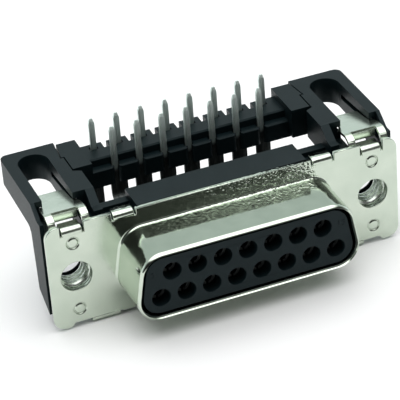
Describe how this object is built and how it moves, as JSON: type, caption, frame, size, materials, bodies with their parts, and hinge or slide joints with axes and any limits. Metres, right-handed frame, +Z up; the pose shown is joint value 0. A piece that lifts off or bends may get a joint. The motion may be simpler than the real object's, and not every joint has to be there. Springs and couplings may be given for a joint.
{
  "type": "d-sub connector",
  "caption": "Right-angle D-shaped socket connector for a circuit board: drawn metal shroud and screw flange in front, slotted brackets, ground straps and bent solder tails behind.",
  "frame": {"origin": "midway between the two screw axes, on the front face of the flange", "axes": "+X along the flange, to the right seen from the front; +Y to the rear, away from the mating plug; +Z up, to the circuit board and the tails' tips"},
  "size_m": [0.0392, 0.0203, 0.0164],
  "materials": {
    "nickel": "nickel-plated steel sheet, satin",
    "black_moulding": "black glass-filled moulding, matt",
    "tin": "tin-plated copper alloy, satin",
    "insert_metal": "nickel-plated, turned and tapped"
  },
  "bodies": {
    "root": {"front_shell": "nickel", "front_insulator": "black_moulding", "housing": "black_moulding", "pin_spacer": "black_moulding", "ground_strap_left": "nickel", "ground_strap_right": "nickel", "threaded_insert_left": "insert_metal", "threaded_insert_right": "insert_metal", "contact_01": "tin", "contact_02": "tin", "contact_03": "tin", "contact_04": "tin", "contact_05": "tin", "contact_06": "tin", "contact_07": "tin", "contact_08": "tin", "contact_09": "tin", "contact_10": "tin", "contact_11": "tin", "contact_12": "tin", "contact_13": "tin", "contact_14": "tin", "contact_15": "tin"}
  },
  "joints": []
}
